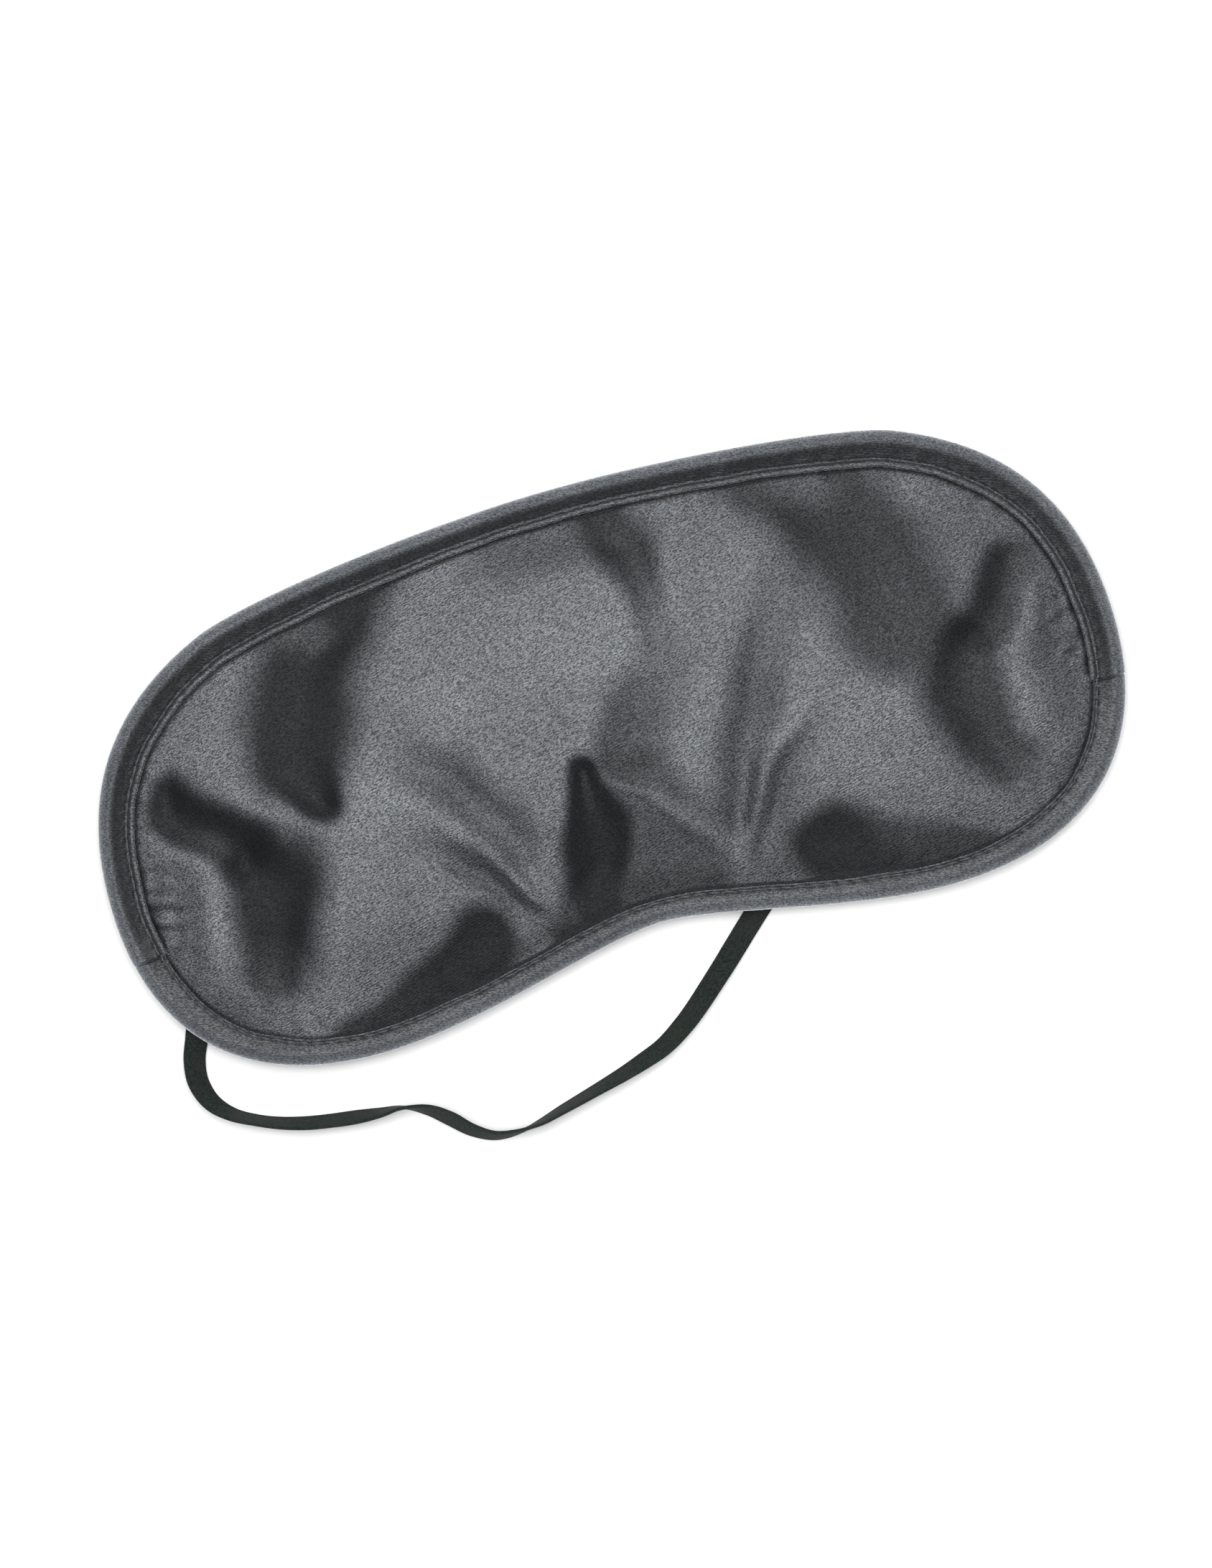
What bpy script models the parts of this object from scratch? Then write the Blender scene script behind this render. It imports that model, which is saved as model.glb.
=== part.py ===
"""Sleep eye mask: padded satin mask with a two-piece bound edge and a sewn elastic strap.

The mask lies face up. The origin is under the middle of the mask, on the surface it lies on.
+X runs along the mask's width, +Y towards the forehead, +Z out of the mask's front face.
Sizes are in millimetres and become metres where a mesh or a curve is made.
"""
import math

import bmesh
import bpy
from mathutils import Vector
from mathutils.geometry import interpolate_bezier

MM = 0.001

# Outline of the right half, from the top centre round to the middle of the nose notch.
HALF_WIDTH = 100.0
TOP_Y = 47.2
SHOULDER = (69.4, 39.4)
SHOULDER_ANGLE = -22.3
SIDE_Y = -6.4
LOBE = (56.7, -47.2)
NOTCH_Y = -38.3
HANDLES = {"top": 24.5, "shoulder_in": 10.0, "shoulder_out": 25.7, "side_in": 18.7,
           "side_out": 21.6, "lobe_in": 32.0, "lobe_out": 19.6, "notch": 11.65}
SEAM_Y = -17.8

# Stations along each half of the outline, above and below the binding's side seam.
UPPER_STEPS = 26
LOWER_STEPS = 22

# Layers, from the face side up. The strap lies flat under the mask.
STRAP_WIDTH = 4.4
STRAP_THICKNESS = 0.8
TOUCH_GAP = 0.3
UNDERSIDE_Z = STRAP_THICKNESS + TOUCH_GAP
BINDING_THICKNESS = 0.7
RIM_HEIGHT = 4.8
PANEL_THICKNESS = 0.5
BACK_Z = UNDERSIDE_Z + BINDING_THICKNESS + TOUCH_GAP
FOAM_Z = BACK_Z + PANEL_THICKNESS + TOUCH_GAP
TOP_Z = UNDERSIDE_Z + RIM_HEIGHT
FRONT_Z = TOP_Z - BINDING_THICKNESS - TOUCH_GAP - PANEL_THICKNESS
FOAM_RIM_Z = FRONT_Z - TOUCH_GAP

# Panels end inside the binding's fold and the foam stops just short of them.
PANEL_INSET = 2.0
FOAM_INSET = 2.3
FLAT_RIM = 7.6
CROWN_HEIGHT = 2.9
CROWN_RUN = 30.0
HALF_HEIGHT = 35.0
FACE_FULLNESS = 0.6
RING_SCALES = (0.9, 0.76, 0.62, 0.46, 0.3)
SPINE_SLOPE = 0.6
SPINE_REACH = 55.0
SPINE_Y = 2.0

# Binding: width on the front at fractions of the way along each strip's half.
UPPER_WIDTHS = ((0.0, 6.2), (0.55, 7.2), (1.0, 6.9))
LOWER_WIDTHS = ((0.0, 6.2), (0.5, 4.7), (1.0, 4.5))
UPPER_STITCH_INSET = 1.5
LOWER_STITCH_INSET = 0.6
REAR_FLAP_SETBACK = 0.8
SEAM_GAP = 0.3
ROLL_DEPTH = 2.0

THREAD_RADIUS = 0.2
THREAD_LIFT = 0.1
THREAD_END_INSET = 1.0

# Strap: route of its middle line from the left seam to the right one, as x, y, tilt, lift.
# Tilt is the ribbon's roll about its own line in degrees, 0 lying flat, and lift is the
# height of its lower edge above the surface.
ANCHOR_X = 93.5
TACK_RADIUS = 0.4
TACK_LENGTH = 5.2
TACK_SIDES = 12
ROOT_Y = SEAM_Y - TACK_RADIUS - TOUCH_GAP
STRAP_ROUTE = (
    (-ANCHOR_X, ROOT_Y, 0, 0), (-93.2, -22.2, 0, 0), (-91.8, -27.0, 0, 0),
    (-90.7, -31.0, -3, 0), (-91.6, -34.3, -10, 0), (-93.1, -38.2, -22, 0),
    (-93.6, -42.5, -30, 0), (-92.2, -46.9, -46, 0), (-89.0, -50.3, -62, 0),
    (-84.8, -52.7, -68, 0), (-80.6, -54.5, -65, 0), (-75.9, -55.9, -61, 0),
    (-71.3, -56.8, -60, 0), (-66.6, -57.5, -60, 0), (-61.9, -58.0, -72, 0),
    (-57.3, -58.3, -92, 0.4), (-52.7, -60.1, -118, 1.0), (-49.1, -62.9, -130, 1.2),
    (-45.8, -66.1, -124, 0.8), (-41.9, -68.4, -113, 0.3), (-37.4, -69.0, -101, 0),
    (-32.8, -68.5, -82, 0), (-28.3, -67.4, -73, 0), (-23.7, -66.3, -68, 0),
    (-19.2, -65.2, -63, 0), (-14.8, -64.1, -56, 0), (-10.4, -62.8, -48, 0),
    (-6.1, -61.3, -41, 0), (-2.1, -59.0, -33, 0), (1.9, -56.1, -27, 0),
    (8.7, -50.3, -18, 0), (12.4, -47.0, -8, 0), (16.4, -43.4, -2, 0),
    (20.0, -40.3, 0, 0), (27.0, -35.2, 0, 0), (38.0, -31.2, 0, 0),
    (53.0, -30.2, 0, 0), (70.0, -32.2, 0, 0), (84.5, -30.4, 0, 0),
    (92.8, -23.0, 0, 0), (ANCHOR_X, ROOT_Y, 0, 0),
)
STRAP_STEP = 2.5

COLOURS = {
    "satin": ((0.10, 0.105, 0.115, 1.0), 0.42),
    "binding": ((0.09, 0.095, 0.105, 1.0), 0.45),
    "lining": ((0.035, 0.036, 0.04, 1.0), 0.75),
    "foam": ((0.32, 0.32, 0.31, 1.0), 0.95),
    "thread": ((0.14, 0.145, 0.155, 1.0), 0.5),
    "elastic": ((0.016, 0.02, 0.017, 1.0), 0.85),
}


def clear_scene():
    """Remove every object, so the script can be run again in the same file."""
    for old in list(bpy.data.objects):
        bpy.data.objects.remove(old, do_unlink=True)


def material(node, kind):
    """Make the node's own material from its kind's colour and roughness."""
    colour, roughness = COLOURS[kind]
    made = bpy.data.materials.new(node)
    made.use_nodes = True
    shader = made.node_tree.nodes["Principled BSDF"]
    shader.inputs["Base Color"].default_value = colour
    shader.inputs["Roughness"].default_value = roughness
    shader.inputs["Metallic"].default_value = 0.0
    made.diffuse_color = colour
    return made


def smooth_blend(stops, place):
    """Value at a place between (place, value) stops, easing in and out of each stop."""
    for (low, first), (high, last) in zip(stops, stops[1:]):
        if place <= high:
            part = (place - low) / (high - low)
            return first + (last - first) * part * part * (3.0 - 2.0 * part)
    return stops[-1][1]


# ---------------------------------------------------------------- outline

def half_outline():
    """Dense points of the right half, from the top centre to the nose notch."""
    slope = Vector((math.cos(math.radians(SHOULDER_ANGLE)), math.sin(math.radians(SHOULDER_ANGLE))))
    shoulder = Vector(SHOULDER)
    lobe = Vector(LOBE)
    top = Vector((0.0, TOP_Y))
    side = Vector((HALF_WIDTH, SIDE_Y))
    notch = Vector((0.0, NOTCH_Y))
    across = Vector((1.0, 0.0))
    down = Vector((0.0, -1.0))
    curves = (
        (top, top + across * HANDLES["top"], shoulder - slope * HANDLES["shoulder_in"], shoulder),
        (shoulder, shoulder + slope * HANDLES["shoulder_out"], side - down * HANDLES["side_in"], side),
        (side, side + down * HANDLES["side_out"], lobe + across * HANDLES["lobe_in"], lobe),
        (lobe, lobe - across * HANDLES["lobe_out"], notch + across * HANDLES["notch"], notch),
    )
    points = [top]
    for curve in curves:
        knots = [point.to_3d() for point in curve]
        points += [Vector(p[:2]) for p in interpolate_bezier(*knots, 160)[1:]]
    return points


def arc_lengths(points):
    """Running length along a polyline."""
    lengths = [0.0]
    for here, there in zip(points, points[1:]):
        lengths.append(lengths[-1] + (there - here).length)
    return lengths


def point_at(points, lengths, length):
    """Point at a running length along a polyline, held at its ends."""
    for index in range(1, len(points)):
        if length <= lengths[index]:
            part = (length - lengths[index - 1]) / (lengths[index] - lengths[index - 1])
            return points[index - 1].lerp(points[index], part)
    return points[-1].copy()


class Outline:
    """The mask's edge: points, inward normals and binding widths at running lengths."""

    def __init__(self):
        self.points = half_outline()
        self.lengths = arc_lengths(self.points)
        self.total = self.lengths[-1]
        side = next(i for i, p in enumerate(self.points) if p.x > 90.0 and p.y < SEAM_Y)
        self.seam = self.lengths[side]

    def place(self, length):
        """Point and inward normal of the right half at a running length."""
        step = 0.5
        low = max(0.0, length - step)
        high = min(self.total, length + step)
        ahead = point_at(self.points, self.lengths, high)
        behind = point_at(self.points, self.lengths, low)
        tangent = (ahead - behind).normalized()
        if length < step or length > self.total - step:
            tangent = Vector((math.copysign(1.0, tangent.x), 0.0))
        return point_at(self.points, self.lengths, length), Vector((tangent.y, -tangent.x))

    def front_width(self, length, upper):
        """The binding's width on the front face at a running length."""
        if upper:
            return smooth_blend(UPPER_WIDTHS, length / self.seam)
        return smooth_blend(LOWER_WIDTHS, (length - self.seam) / (self.total - self.seam))

    def inset(self, length, depth, mirrored=False):
        """Point a depth inside the edge, on the right half or mirrored to the left."""
        point, inward = self.place(length)
        moved = point + inward * depth
        return Vector((-moved.x, moved.y)) if mirrored else moved

    def loop_lengths(self):
        """Running length and side of every station, clockwise from the top centre."""
        upper = [self.seam * i / UPPER_STEPS for i in range(UPPER_STEPS)]
        lower = [self.seam + (self.total - self.seam) * i / LOWER_STEPS for i in range(LOWER_STEPS + 1)]
        right = [(length, False) for length in upper + lower]
        left = [(length, True) for length, _ in reversed(right[1:-1])]
        return right + left

    def ring(self, depth):
        """Closed loop of points a depth inside the edge."""
        return [self.inset(length, depth, mirrored) for length, mirrored in self.loop_lengths()]

    def strip_lengths(self, upper, end_inset):
        """Stations of one binding strip from its left end to its right end or back."""
        if upper:
            end = self.seam - end_inset
            steps = [end * i / UPPER_STEPS for i in range(UPPER_STEPS + 1)]
            return [(s, True) for s in reversed(steps[1:])] + [(s, False) for s in steps]
        start = self.seam + end_inset
        steps = [start + (self.total - start) * i / LOWER_STEPS for i in range(LOWER_STEPS + 1)]
        return [(s, False) for s in steps] + [(s, True) for s in reversed(steps[:-1])]


def spine_point(point):
    """The middle line of the mask that the inner rings shrink towards."""
    reach = max(-SPINE_REACH, min(SPINE_REACH, point.x * SPINE_SLOPE))
    return Vector((reach, SPINE_Y))


def shrunk(ring, scale):
    """A ring pulled in towards the spine."""
    return [spine_point(p).lerp(p, scale) for p in ring]


def crown(scale):
    """Share of the padding's full height over a ring of this scale, 1 at the crown."""
    run = min(1.0, (1.0 - scale) * HALF_HEIGHT / CROWN_RUN)
    return math.sin(run * math.pi / 2.0)


# ---------------------------------------------------------------- mesh helpers

def finish(node, mesh, kind, parent=None, smooth_angle=None):
    """Put a mesh or curve in the scene as a named node with its own material."""
    mesh.materials.append(material(node, kind))
    if smooth_angle is not None:
        mesh.shade_smooth()
        mesh.set_sharp_from_angle(angle=math.radians(smooth_angle))
    node_object = bpy.data.objects.new(node, mesh)
    bpy.context.scene.collection.objects.link(node_object)
    if parent is not None:
        node_object.parent = parent
    return node_object


def add_loop(bm, points):
    """Add a closed loop of vertices at (x, y, z) millimetre points."""
    return [bm.verts.new(Vector(p) * MM) for p in points]


def bridge(bm, first, second):
    """Quads between two closed loops of equal length."""
    for index in range(len(first)):
        after = (index + 1) % len(first)
        bm.faces.new((first[index], first[after], second[after], second[index]))


def write_mesh(bm, name):
    """Turn faces outwards and hand the mesh over."""
    bmesh.ops.recalc_face_normals(bm, faces=bm.faces)
    mesh = bpy.data.meshes.new(name)
    bm.to_mesh(mesh)
    bm.free()
    return mesh


def loft(name, loops):
    """Closed body through a list of closed loops, with its two ends filled."""
    bm = bmesh.new()
    rows = [add_loop(bm, loop) for loop in loops]
    for first, second in zip(rows, rows[1:]):
        bridge(bm, first, second)
    bm.faces.new(rows[0])
    bm.faces.new(list(reversed(rows[-1])))
    return write_mesh(bm, name)


def raised(ring, height):
    """Give a flat ring its height."""
    return [(p.x, p.y, height) for p in ring]


def crowned_rings(outline, edge_inset, base_height, rise=CROWN_HEIGHT):
    """Rings of a crowned surface from its edge to the flat ring at the crown."""
    flat = outline.ring(FLAT_RIM)
    rings = [raised(outline.ring(edge_inset), base_height), raised(flat, base_height)]
    rings += [raised(shrunk(flat, scale), base_height + rise * crown(scale)) for scale in RING_SCALES]
    return rings


# ---------------------------------------------------------------- sub-parts

def make_front_panel(outline):
    """Crowned satin skin over the padding."""
    under = crowned_rings(outline, PANEL_INSET, FRONT_Z)
    over = crowned_rings(outline, PANEL_INSET, FRONT_Z + PANEL_THICKNESS)
    mesh = loft("front_panel", list(reversed(under)) + over)
    return finish("front_panel", mesh, "satin", smooth_angle=40)


def make_foam(outline):
    """Padding, slightly full on the face side and crowned on the front."""
    under = crowned_rings(outline, FOAM_INSET, FOAM_Z, -FACE_FULLNESS)
    over = crowned_rings(outline, FOAM_INSET, FOAM_RIM_Z)
    mesh = loft("foam_padding", list(reversed(under)) + over)
    return finish("foam_padding", mesh, "foam", smooth_angle=40)


def make_back_panel(outline):
    """Lining on the face side, slightly full, with a flat patch in its middle."""
    under = crowned_rings(outline, PANEL_INSET, BACK_Z, -FACE_FULLNESS)
    over = crowned_rings(outline, PANEL_INSET, BACK_Z + PANEL_THICKNESS, -FACE_FULLNESS)
    mesh = loft("back_panel", list(reversed(under)) + over)
    return finish("back_panel", mesh, "lining", smooth_angle=40)


def binding_section(front_width, stitch_inset):
    """Folded strip's section as (depth, height) points, once round."""
    low = UNDERSIDE_Z
    high = TOP_Z
    middle = (low + high) / 2.0
    half = RIM_HEIGHT / 2.0
    wall = BINDING_THICKNESS
    rear_width = front_width - stitch_inset - REAR_FLAP_SETBACK
    roll = [(ROLL_DEPTH * (1.0 - math.sin(t)), middle + half * math.cos(t))
            for t in (math.pi * i / 6.0 for i in range(7))]
    hollow = [(wall + (ROLL_DEPTH - wall) * (1.0 - math.sin(t)), middle - (half - wall) * math.cos(t))
              for t in (math.pi * i / 4.0 for i in range(5))]
    return ([(front_width, high)] + roll + [(rear_width, low), (rear_width, low + wall)]
            + hollow + [(front_width, high - wall)])


def make_binding(outline, node, upper):
    """One of the two strips folded round the edge, from seam to seam."""
    stitch_inset = UPPER_STITCH_INSET if upper else LOWER_STITCH_INSET
    loops = []
    for length, mirrored in outline.strip_lengths(upper, SEAM_GAP / 2.0):
        section = binding_section(outline.front_width(length, upper), stitch_inset)
        places = [(outline.inset(length, depth, mirrored), height) for depth, height in section]
        loops.append([(p.x, p.y, height) for p, height in places])
    return finish(node, loft(node, loops), "binding", smooth_angle=35)


def make_thread(outline, node, upper, front):
    """One thread of a row of stitches, as a thin line along the binding's inner edge."""
    stitch_inset = UPPER_STITCH_INSET if upper else LOWER_STITCH_INSET
    clearance = THREAD_LIFT + THREAD_RADIUS
    height = TOP_Z + clearance if front else BACK_Z - clearance
    curve = bpy.data.curves.new(node, "CURVE")
    curve.dimensions = "3D"
    curve.bevel_depth = THREAD_RADIUS * MM
    curve.bevel_resolution = 0
    curve.use_fill_caps = True
    stations = outline.strip_lengths(upper, THREAD_END_INSET)
    spline = curve.splines.new("POLY")
    spline.points.add(len(stations) - 1)
    for point, (length, mirrored) in zip(spline.points, stations):
        depth = outline.front_width(length, upper) - stitch_inset
        spot = outline.inset(length, depth, mirrored)
        point.co = (spot.x * MM, spot.y * MM, height * MM, 1.0)
    return finish(node, curve, "thread")


def make_tack(node, side):
    """Bar of thread that sews one end of the strap to the binding, on the swing axis."""
    bm = bmesh.new()
    bmesh.ops.create_cone(bm, cap_ends=True, segments=TACK_SIDES, radius1=TACK_RADIUS * MM,
                          radius2=TACK_RADIUS * MM, depth=TACK_LENGTH * MM)
    tack = finish(node, write_mesh(bm, node), "thread", smooth_angle=50)
    tack.location = (side * ANCHOR_X * MM, SEAM_Y * MM, TACK_RADIUS * MM)
    tack.rotation_euler = (0.0, math.radians(90.0), 0.0)
    return tack


def smooth_route(knots, per_span=12):
    """Catmull-Rom curve through the knots, each a Vector of x, y, tilt and lift."""
    ends = [knots[0] * 2 - knots[1]] + knots + [knots[-1] * 2 - knots[-2]]
    points = [knots[0]]
    for before, here, there, after in zip(ends, ends[1:], ends[2:], ends[3:]):
        for index in range(1, per_span + 1):
            t = index / per_span
            points.append(0.5 * (2 * here + (there - before) * t
                                 + (2 * before - 5 * here + 4 * there - after) * t ** 2
                                 + (3 * here - before - 3 * there + after) * t ** 3))
    return points


def strap_stations():
    """Evenly spaced (middle, along, tilt) stations of the strap."""
    dense = smooth_route([Vector(knot) for knot in STRAP_ROUTE])
    lengths = [0.0]
    for here, there in zip(dense, dense[1:]):
        lengths.append(lengths[-1] + (there - here).xy.length)
    count = round(lengths[-1] / STRAP_STEP)
    knots = [point_at(dense, lengths, lengths[-1] * i / count) for i in range(count + 1)]
    stations = []
    for index, knot in enumerate(knots):
        along = (knots[min(index + 1, count)] - knots[max(index - 1, 0)]).xy.normalized()
        tilt = math.radians(knot[2])
        height = max(0.0, knot[3]) + (STRAP_WIDTH * abs(math.sin(tilt))
                                      + STRAP_THICKNESS * abs(math.cos(tilt))) / 2.0
        stations.append((Vector((knot.x, knot.y, height)), along, tilt))
    return stations


def make_strap(axis_empty):
    """Flat elastic ribbon, twisting on its way from the left seam to the right one."""
    offset = axis_empty.location / MM
    loops = []
    for middle, along, tilt in strap_stations():
        left = Vector((-along.y, along.x, 0.0))
        up = Vector((0.0, 0.0, 1.0))
        across = left * math.cos(tilt) + up * math.sin(tilt)
        through = up * math.cos(tilt) - left * math.sin(tilt)
        corners = ((1, 1), (-1, 1), (-1, -1), (1, -1))
        loops.append([middle - offset + across * (a * STRAP_WIDTH / 2.0)
                      + through * (b * STRAP_THICKNESS / 2.0) for a, b in corners])
    return finish("elastic_strap", loft("elastic_strap", loops), "elastic", parent=axis_empty)


def main():
    """Build the mask, its seams and its strap."""
    clear_scene()
    outline = Outline()
    make_back_panel(outline)
    make_foam(outline)
    make_front_panel(outline)
    for node, upper in (("binding_upper", True), ("binding_lower", False)):
        make_binding(outline, node, upper)
    for strip, upper in (("upper", True), ("lower", False)):
        for face, front in (("front", True), ("rear", False)):
            make_thread(outline, f"{strip}_{face}_stitching", upper, front)
    for name, side in (("left", -1), ("right", 1)):
        make_tack(f"strap_tack_{name}", side)
    swing = bpy.data.objects.new("strap_swing_axis", None)
    swing.location = (0.0, SEAM_Y * MM, TACK_RADIUS * MM)
    bpy.context.scene.collection.objects.link(swing)
    make_strap(swing)


main()
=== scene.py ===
"""Looks of the sleep eye mask: satin skin, rolled binding, stitches, lining and ribbed elastic.

Shapes are worked out in millimetres in the frame's axes and become metres in write_mesh().
"""
import math

import bpy
import numpy as np
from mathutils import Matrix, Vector
from mathutils.kdtree import KDTree


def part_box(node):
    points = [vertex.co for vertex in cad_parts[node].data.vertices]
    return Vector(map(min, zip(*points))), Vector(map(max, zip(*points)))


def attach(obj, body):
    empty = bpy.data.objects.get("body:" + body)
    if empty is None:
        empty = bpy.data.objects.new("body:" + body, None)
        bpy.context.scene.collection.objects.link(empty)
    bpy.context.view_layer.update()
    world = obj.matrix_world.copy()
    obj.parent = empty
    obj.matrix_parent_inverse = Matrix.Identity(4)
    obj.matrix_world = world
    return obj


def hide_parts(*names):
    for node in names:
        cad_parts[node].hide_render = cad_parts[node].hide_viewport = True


MM = 0.001
SEED = 7

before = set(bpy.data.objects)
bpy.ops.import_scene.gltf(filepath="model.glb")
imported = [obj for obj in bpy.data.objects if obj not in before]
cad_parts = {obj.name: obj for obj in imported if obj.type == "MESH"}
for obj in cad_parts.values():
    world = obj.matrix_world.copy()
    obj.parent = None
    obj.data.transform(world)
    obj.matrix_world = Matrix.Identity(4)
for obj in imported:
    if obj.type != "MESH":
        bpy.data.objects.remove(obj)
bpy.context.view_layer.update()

# ---------------------------------------------------------------- sizes
# Outline of the right half, from the top centre round to the middle of the nose notch.
TOP = (0.0, 47.2)
SHOULDER = (69.4, 39.4)
SHOULDER_ANGLE = -22.3
SIDE = (100.0, -6.4)
LOBE = (56.7, -47.2)
NOTCH = (0.0, -38.3)
SEAM_Y = -17.8

# Layer heights at the rim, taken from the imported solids. The face side stands fuller in its middle.
UNDER_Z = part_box("binding_upper")[0].z / MM
TOP_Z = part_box("binding_upper")[1].z / MM
FACE_FULLNESS = 0.6
LINING_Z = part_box("back_panel")[0].z / MM + FACE_FULLNESS
FOAM_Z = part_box("foam_padding")[0].z / MM + FACE_FULLNESS
CLOTH = 0.4
STRIP = 0.62
CROWN_TOP_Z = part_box("front_panel")[1].z / MM - 0.1
CROWN_START = 6.0
CROWN_RUN = 33.0
PANEL_INSET = 2.0

# Camera: straight down, turned so that the mask lies aslant in the picture.
CAMERA_HEIGHT = 836.8
CAMERA_LENS = 100.0
CAMERA_AIM = (-2.4, -9.9)
CAMERA_ROLL = -16.5


# ---------------------------------------------------------------- outline

def bezier(knots, count):
    """Points of one cubic curve, its last point left to the next one."""
    t = np.linspace(0.0, 1.0, count, endpoint=False)[:, None]
    a, b, c, d = (np.array(k, float) for k in knots)
    return a * (1 - t) ** 3 + 3 * b * t * (1 - t) ** 2 + 3 * c * t * t * (1 - t) + d * t ** 3


def shifted(point, dx, dy):
    """A handle's place beside its knot."""
    return (point[0] + dx, point[1] + dy)


def half_outline():
    """The right half's edge as dense points."""
    slope = (math.cos(math.radians(SHOULDER_ANGLE)), math.sin(math.radians(SHOULDER_ANGLE)))
    curves = (
        (TOP, shifted(TOP, 24.5, 0), shifted(SHOULDER, -10.0 * slope[0], -10.0 * slope[1]), SHOULDER),
        (SHOULDER, shifted(SHOULDER, 25.7 * slope[0], 25.7 * slope[1]), shifted(SIDE, 0, 18.7), SIDE),
        (SIDE, shifted(SIDE, 0, -21.6), shifted(LOBE, 32.0, 0), LOBE),
        (LOBE, shifted(LOBE, -19.6, 0), shifted(NOTCH, 11.65, 0), NOTCH),
    )
    return np.vstack([bezier(knots, 400) for knots in curves] + [np.array([NOTCH])])


class Edge:
    """The mask's closed edge, read by running length clockwise from the top centre."""

    def __init__(self, samples=6000):
        right = half_outline()
        left = right[-2:0:-1] * (-1.0, 1.0)
        loop = np.vstack([right, left, right[:1]])
        run = np.concatenate([[0.0], np.cumsum(np.linalg.norm(np.diff(loop, axis=0), axis=1))])
        self.length = run[-1]
        self.half = self.length / 2.0
        self.s = np.linspace(0.0, self.length, samples, endpoint=False)
        self.xy = np.stack([np.interp(self.s, run, loop[:, i]) for i in (0, 1)], axis=1)
        ahead = np.roll(self.xy, -8, axis=0) - np.roll(self.xy, 8, axis=0)
        ahead /= np.linalg.norm(ahead, axis=1)[:, None]
        self.inward = np.stack([ahead[:, 1], -ahead[:, 0]], axis=1)
        right_side = (self.s < self.half) & (self.xy[:, 0] > 90.0)
        self.seam = self.s[right_side & (self.xy[:, 1] < SEAM_Y)][0]
        self.tip = self.s[np.argmax(self.xy[:, 0])]
        self.tree = KDTree(samples)
        for index, point in enumerate(self.xy):
            self.tree.insert((point[0], point[1], 0.0), index)
        self.tree.balance()

    def at(self, s, depth):
        """Points at running lengths, each a depth inside the edge."""
        s = np.mod(s, self.length)
        found = [np.interp(s, self.s, table, period=self.length)
                 for table in (*self.xy.T, *self.inward.T)]
        return np.stack([found[0] + found[2] * depth, found[1] + found[3] * depth], axis=-1)

    def from_top(self, s):
        """Shorter running length from the top centre to each place, the same on both sides."""
        along = np.mod(s, self.length)
        return np.minimum(along, self.length - along)

    def nearest(self, points):
        """Depth inside the edge of each point, and the running length it is nearest to."""
        found = [self.tree.find((x, y, 0.0)) for x, y in points]
        return np.array([f[2] for f in found]), self.s[np.array([f[1] for f in found])]


def smoothstep(x, low, high):
    """0 below low, 1 above high, eased between."""
    t = np.clip((x - low) / (high - low), 0.0, 1.0)
    return t * t * (3.0 - 2.0 * t)


def stops(where, table):
    """Values between (where, value) stops, eased in and out of each stop."""
    where = np.asarray(where, float)
    value = np.full(where.shape, float(table[0][1]))
    for (low, first), (high, last) in zip(table, table[1:]):
        value += (last - first) * smoothstep(where, low, high)
    return value


def ripple(s, length, waves, seed):
    """A smooth closed random wave round the edge, between about -1 and 1."""
    rng = np.random.default_rng(seed)
    total = np.zeros(np.shape(s))
    for wave in waves:
        total += np.sin(2 * math.pi * wave * np.asarray(s) / length + rng.uniform(0, 2 * math.pi)) \
            * rng.uniform(0.5, 1.0)
    return total / math.sqrt(len(waves))


# ---------------------------------------------------------------- mesh writing

def write_mesh(name, verts, faces, smooth=True):
    """An object from millimetre points and index faces."""
    mesh = bpy.data.meshes.new(name)
    mesh.from_pydata((np.asarray(verts) * MM).tolist(), [], faces)
    mesh.validate()
    if smooth:
        mesh.shade_smooth()
    piece = bpy.data.objects.new(name, mesh)
    bpy.context.scene.collection.objects.link(piece)
    return piece


def write_field(piece, name, values):
    """Store one value at each point, for the satin to read."""
    attribute = piece.data.attributes.new(name, "FLOAT", "POINT")
    attribute.data.foreach_set("value", np.asarray(values, np.float32))


def grid_faces(rows, columns, closed, start=0):
    """Quads between rows of points, each row closed into a loop or left open."""
    row, column = np.meshgrid(np.arange(rows - 1), np.arange(columns if closed else columns - 1),
                              indexing="ij")
    after = (column + 1) % columns
    quads = np.stack([row * columns + column, row * columns + after,
                      (row + 1) * columns + after, (row + 1) * columns + column], axis=-1)
    return (quads.reshape(-1, 4) + start).tolist()


def swept(loops):
    """Points and faces of a closed body through a stack of closed loops."""
    stack = np.asarray(loops, float)
    rows, columns = stack.shape[:2]
    faces = grid_faces(rows, columns, True)
    faces.append(list(range(columns))[::-1])
    faces.append([(rows - 1) * columns + i for i in range(columns)])
    return stack.reshape(-1, 3), faces


def joined(bodies):
    """Several (points, faces) bodies as one."""
    verts, faces, start = [], [], 0
    for points, polys in bodies:
        verts.append(points)
        faces += [[i + start for i in poly] for poly in polys]
        start += len(points)
    return np.vstack(verts), faces


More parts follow.
